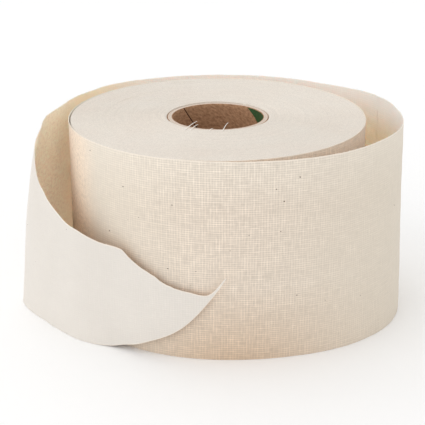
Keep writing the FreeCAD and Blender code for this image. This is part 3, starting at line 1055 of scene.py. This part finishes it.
def windingEnd(height, sign, radiusIn, pitch):
    # One end of the winding: a spiral of layers. Returns its points, faces and two rims.
    steps, turns = winding["stepsPerTurn"], winding["turns"]
    last = steps * turns
    profile = winding["profile"]
    place = np.arange(last + 1)
    rows = []
    for corner, share in enumerate(profile):
        turn = place / steps
        rows.append((turn, np.full(last + 1, share), np.full(last + 1, corner)))
    edge = np.arange(last - steps + 1, last + 1)
    rows.append((edge / steps, np.ones(steps), np.zeros(steps)))
    turn = np.concatenate([row[0] for row in rows])
    share = np.concatenate([row[1] for row in rows])
    corner = np.concatenate([row[2] for row in rows])
    angle = strip["liftOff"] + 360 * turn
    radius = radiusIn + pitch * (turn + share)
    low = windingHeights(turn + share * 0.5, angle % 360, corner)
    low[:steps + 1] += winding["firstTurnDrop"]
    level = height - low if sign > 0 else height + low * winding["undersideShare"]
    turned = np.radians(angle)
    points = np.stack([radius * np.cos(turned), radius * np.sin(turned), level], axis=1)
    count = last + 1
    grid = np.stack([np.arange(count) + count * corner for corner in range(len(profile))])
    outside = np.empty(count, dtype=int)
    outside[:last - steps + 1] = np.arange(steps, count)
    outside[last - steps + 1:] = len(profile) * count + np.arange(steps)
    lines = [*grid, outside]
    faces = []
    for inner, outer in zip(lines[:-1], lines[1:]):
        quads = np.stack([inner[:-1], outer[:-1], outer[1:], inner[1:]], axis=1)
        faces.append(quads if sign > 0 else quads[:, ::-1])
    faces = np.concatenate(faces).tolist()
    startStep = [int(grid[2][0]), int(grid[1][0])]
    endStep = [int(grid[2][-1]), int(grid[1][-1])]
    innerRim = [int(i) for i in grid[0][:steps + 1]] + startStep
    outerRim = [int(grid[0][-1])] + [int(i) for i in outside[last - steps + 1:]] + endStep
    turnsMap = np.stack([(turn + share) * pitch, np.radians(angle) * radius], axis=1)
    return points, faces, innerRim, outerRim, turnsMap, low


def makeWinding():
    radiusIn = outerRadius("core_outer_liner") + 0.08
    pitch = (strip["rollRadius"] - 0.03 - radiusIn) / winding["turns"]
    pitch = pitch * winding["turns"] / (winding["turns"] + 1)
    top = windingEnd(strip["width"], 1, radiusIn, pitch)
    base = windingEnd(0.0, -1, radiusIn, pitch)
    shift = len(top[0])
    points = np.concatenate([top[0], base[0]])
    faces = top[1] + [[corner + shift for corner in face] for face in base[1]]
    for rim, flip in ((top[2], False), (top[3], True)):
        count = len(rim)
        for i in range(count):
            here, ahead = rim[i], rim[(i + 1) % count]
            wall = [here, ahead, ahead + shift, here + shift]
            faces.append(wall[::-1] if flip else wall)
    turnsMap = np.concatenate([top[4], base[4]])
    low = np.concatenate([top[5], base[5] * 0.3])
    marks = {"sunk": low - winding["baseDrop"]}
    turnsMap[:, 1] %= winding["mapRepeat"]
    piece = makeMesh("tight_winding", points, faces, {"turns": turnsMap / metre}, marks, 70)
    piece.data.materials.append(layerEnds)
    return piece


tightWinding = makeWinding()
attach(tightWinding, "roll")
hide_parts("wound_cloth")
print("winding made")


core = {
    "layers": ["core_inner_liner", "core_board_ply_1", "core_board_ply_2", "core_board_ply_3",
               "core_outer_liner"],
    "rimDrop": (0.06, 0.0, 0.1, 0.03, 0.16),   # how far each layer's cut edge sits back
    "rimRound": 0.09,
    "rimRoughness": 0.035,
    "seamAngle": 139.9,        # where the liner's seam meets the rim
    "seamSlope": 1.43,         # its rise over its run round the bore
    "seamWidth": 0.42,
    "seamDepth": 0.2,
    "seamEdge": 0.15,          # how far the groove takes to slope down to its depth
    "wallRipple": (0.03, 4, 16, 8),   # height, shortest and longest wave, and how many
    "steps": 150,
    "levels": 46,
}


def paperTube(name, node, bore, drop, seamed, seed):
    # One spiral-wound layer: a tube with crushed cut rims. Its columns lean with the winding,
    # so that the seam between two turns of the paper is a groove along them.
    outside, top = outerRadius(node), topOf(node) - drop
    soft = core["rimRound"]
    spread = np.linspace(1.4, math.tau * bore - 1.0, core["steps"])
    half, slope = core["seamWidth"] / 2, core["seamEdge"]
    seamPlaces = [-half - slope, -half, half, half + slope]
    offsets = np.concatenate([seamPlaces, spread]) if seamed else spread
    groove = np.zeros(len(offsets))
    if seamed:
        groove[1:3] = core["seamDepth"]
    levels = np.linspace(soft, top - soft, core["levels"] if seamed else 3)
    middle = (bore + outside) / 2
    profile = [(bore, z, 1) for z in levels]
    profile += [(bore + soft * 0.6, top - soft * 0.25, 1), (middle, top, 1)]
    profile += [(outside - soft * 0.6, top - soft * 0.25, 1)]
    profile += [(outside, z, 0) for z in levels[::-1]]
    profile += [(outside - soft * 0.6, soft * 0.25, 1), (middle, 0.0, 1)]
    profile += [(bore + soft * 0.6, soft * 0.25, 1)]
    draws = np.random.default_rng(seed)
    count, around = len(profile), len(offsets)
    points = np.zeros((count, around, 3))
    wall = np.zeros((count, around, 2))
    seam = np.zeros((count, around))
    rough = draws.normal(0, core["rimRoughness"], around)
    for k, (radius, z, cut) in enumerate(profile):
        lean = (z - topOf(node)) / (core["seamSlope"] * bore) if seamed else 0
        angle = math.radians(core["seamAngle"]) + offsets / bore + lean
        inner = k < len(levels)
        wavy = 0
        if inner and seamed:
            rise, *spread = core["wallRipple"]
            wavy = rise * ripples(offsets, 0 * offsets + z, *spread, seed)
        size = radius + (groove if inner else 0) + wavy
        rim = rough * ramp(np.full(around, z), top - 0.4, top) if cut else 0
        level = z + rim + 0 * angle
        points[k] = np.stack([size * np.cos(angle), size * np.sin(angle), level], axis=1)
        wall[k] = np.stack([offsets, np.full(around, z + radius * 3)], axis=1)
        seam[k] = (groove > 0) * 1.0 if inner else 0
    index = np.arange(count * around).reshape(count, around)
    here, above = index, np.roll(index, -1, 0)
    skin = np.stack([np.roll(here, -1, 1), here, above, np.roll(above, -1, 1)], axis=2)
    faces = skin.reshape(-1, 4).tolist()
    maps = {"wall": wall.reshape(-1, 2) / metre}
    return makeMesh(name, points.reshape(-1, 3), faces, maps, {"seam": seam.ravel()}, 50)


def makeCore():
    bore = next(m for m in frame["record"]["mounts"] if m["name"] == "core_bore")["dims"]["r_mm"]
    for number, node in enumerate(core["layers"]):
        ends = number in (0, len(core["layers"]) - 1)
        drop = core["rimDrop"][number]
        name = node.replace("core_", "paper_")
        piece = paperTube(name, node, bore, drop, number == 0, seed=100 + number)
        piece.data.materials.append(liner if ends else board)
        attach(piece, "roll")
        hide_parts(node)
        bore = outerRadius(node)


makeCore()

label = {
    "rightAngle": -27.0,
    "topCorner": 47.8,        # where the slanted edge meets the label's top
    "cotSlant": 1.39,         # its run over its rise
    "height": 24.0,
    "thickness": 0.1,
    "lift": 0.25,             # how far the corner has come unstuck
    "liftFrom": (0.9, 0.6),   # where the unstuck corner starts, across and up the label
    "columns": 40,
    "rows": 24,
}


def makeLabel():
    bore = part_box("core_label")[1][0] * metre
    top = topOf("core_label")
    liftAcross, liftUp = label["liftFrom"]
    points, wall = [], []
    for layer in (0, 1):
        for row in range(label["rows"] + 1):
            z = top - label["height"] * (1 - row / label["rows"])
            left = label["topCorner"] - math.degrees((top - z) * label["cotSlant"] / bore)
            left = max(left, label["rightAngle"] + 3)
            for column in range(label["columns"] + 1):
                share = column / label["columns"]
                angle = label["rightAngle"] + (left - label["rightAngle"]) * share
                past = max(0, share - liftAcross) / (1 - liftAcross)
                lift = label["lift"] * past * max(0, row / label["rows"] - liftUp)
                radius = bore - label["thickness"] * (1 - layer) - lift
                turned = math.radians(angle)
                points.append((radius * math.cos(turned), radius * math.sin(turned), z))
                wall.append((turned * bore, z))
    across, size = label["columns"] + 1, (label["columns"] + 1) * (label["rows"] + 1)
    index = np.arange(2 * size).reshape(2, label["rows"] + 1, across)
    faces = []
    for layer in (0, 1):
        a, b = index[layer][:-1, :-1], index[layer][:-1, 1:]
        c, d = index[layer][1:, 1:], index[layer][1:, :-1]
        quads = np.stack([a, b, c, d] if layer else [a, d, c, b], axis=2)
        faces += quads.reshape(-1, 4).tolist()
    front, back = index
    rim = [*front[0], *front[1:, -1], *front[-1, -2::-1], *front[-2:0:-1, 0]]
    rimBack = [*back[0], *back[1:, -1], *back[-1, -2::-1], *back[-2:0:-1, 0]]
    for i, corner in enumerate(rim):
        ahead = (i + 1) % len(rim)
        wallFace = (corner, rim[ahead], rimBack[ahead], rimBack[i])
        faces.append([int(point) for point in wallFace])
    maps = {"wall": np.array(wall) / metre}
    piece = makeMesh("green_label", points, faces, maps)
    piece.data.materials.append(labelPaper)
    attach(piece, "roll")
    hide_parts("core_label")


makeLabel()
startTape = frame["nodes"]["start_tape"]
startTape.data.materials[0] = tape
print("core made")

# Yarn ends that lie over the core's rim: points from the winding to the free end
rimYarns = {
    "radii": (0.24, 0.2, 0.22, 0.15, 0.13),
    "sides": 7,
    "rings": 14,
    "lines": [
        [(-14.6, -23.6, 88.7), (-13.4, -21.0, 89.1), (-11.3, -16.6, 89.5), (-9.3, -12.0, 89.4)],
        [(-12.2, -24.2, 88.7), (-11.1, -21.5, 89.1), (-9.9, -19.0, 89.4), (-8.7, -16.5, 89.3)],
        [(1.6, -25.3, 88.8), (2.4, -23.5, 89.1), (3.3, -19.6, 89.6), (4.5, -15.5, 89.8)],
        [(-3.6, -24.6, 88.8), (-3.2, -23.0, 89.0), (-2.7, -21.9, 89.0), (-2.1, -21.0, 88.8)],
        [(14.5, 19.2, 88.8), (13.2, 18.3, 89.1), (12.3, 17.3, 89.2), (11.7, 16.2, 89.0)],
    ],
}


def makeRimYarns():
    paths = []
    for line in rimYarns["lines"]:
        places = np.linspace(0, len(line) - 1, rimYarns["rings"])
        paths.append(smoothCurve(np.array(line, dtype=float), places))
    radii, sides = rimYarns["radii"], rimYarns["sides"]
    piece = bundleOfTubes("rim_yarn_ends", paths, radii, sides, yarnEnds)
    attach(piece, "roll")


makeRimYarns()
print("yarn ends made")


studio = {
    "floorSize": 9.0,
    "floorGap": 0.1,           # the floor lies this far below the roll
    "floor": "FEFEFE",
    "floorLight": "FFFFFF",
    "floorGrain": 0.02,
    "sky": 0.81,
    # Each big softbox: the way to it, how widely its light spreads in degrees, and its power
    "softboxes": {
        "overhead_softbox": ((-0.35, 0.45, 1.0), 70.0, 0.46),
        "side_softbox": ((-0.8, -0.55, 0.55), 60.0, 0.5),
    },
    "camera": (0.0, -0.52376, 0.24042),
    "pitch": 69.214,
    "yaw": 0.2663,
    "lens": 101.65,
    "sensor": 36.0,
}


def makeStudio():
    half = studio["floorSize"] / 2 * metre
    level = -studio["floorGap"]
    sides = ((-half, -half), (half, -half), (half, half), (-half, half))
    corners = [(x, y, level) for x, y in sides]
    floor = makeMesh("floor", corners, [[0, 1, 2, 3]])
    paper, tree, shader = newMaterial("mattBackdropPaper", Roughness=0.9, Specular_IOR_Level=0.1)
    coord = addNode(tree, "ShaderNodeTexCoord", output=3)
    grain = grainAt(tree, coord, (studio["floorGrain"],) * 3)
    mix = {0: grain, 6: linearColour(studio["floor"]), 7: linearColour(studio["floorLight"])}
    tone = addNode(tree, "ShaderNodeMix", mix, output=2, data_type="RGBA")
    tree.links.new(tone, shader.inputs["Base Color"])
    floor.data.materials.append(paper)
    world = bpy.data.worlds.new("softWhiteStudio")
    world.use_nodes = True
    background = world.node_tree.nodes["Background"]
    background.inputs["Color"].default_value = (1, 1, 1, 1)
    background.inputs["Strength"].default_value = studio["sky"]
    bpy.context.scene.world = world
    for name, (wayTo, spread, power) in studio["softboxes"].items():
        lamp = bpy.data.lights.new(name, "SUN")
        lamp.angle = math.radians(spread)
        lamp.energy = power
        softbox = bpy.data.objects.new(name, lamp)
        softbox.rotation_euler = Vector(wayTo).to_track_quat("Z", "Y").to_euler()
        bpy.context.scene.collection.objects.link(softbox)
    lensData = bpy.data.cameras.new("camera")
    lensData.lens = studio["lens"]
    lensData.sensor_width = studio["sensor"]
    camera = bpy.data.objects.new("camera", lensData)
    camera.location = studio["camera"]
    camera.rotation_euler = (math.radians(studio["pitch"]), 0, math.radians(studio["yaw"]))
    bpy.context.scene.collection.objects.link(camera)
    bpy.context.scene.camera = camera
    bpy.context.scene.view_settings.view_transform = "Standard"


makeStudio()
print("studio made")

bpy.context.view_layer.update()
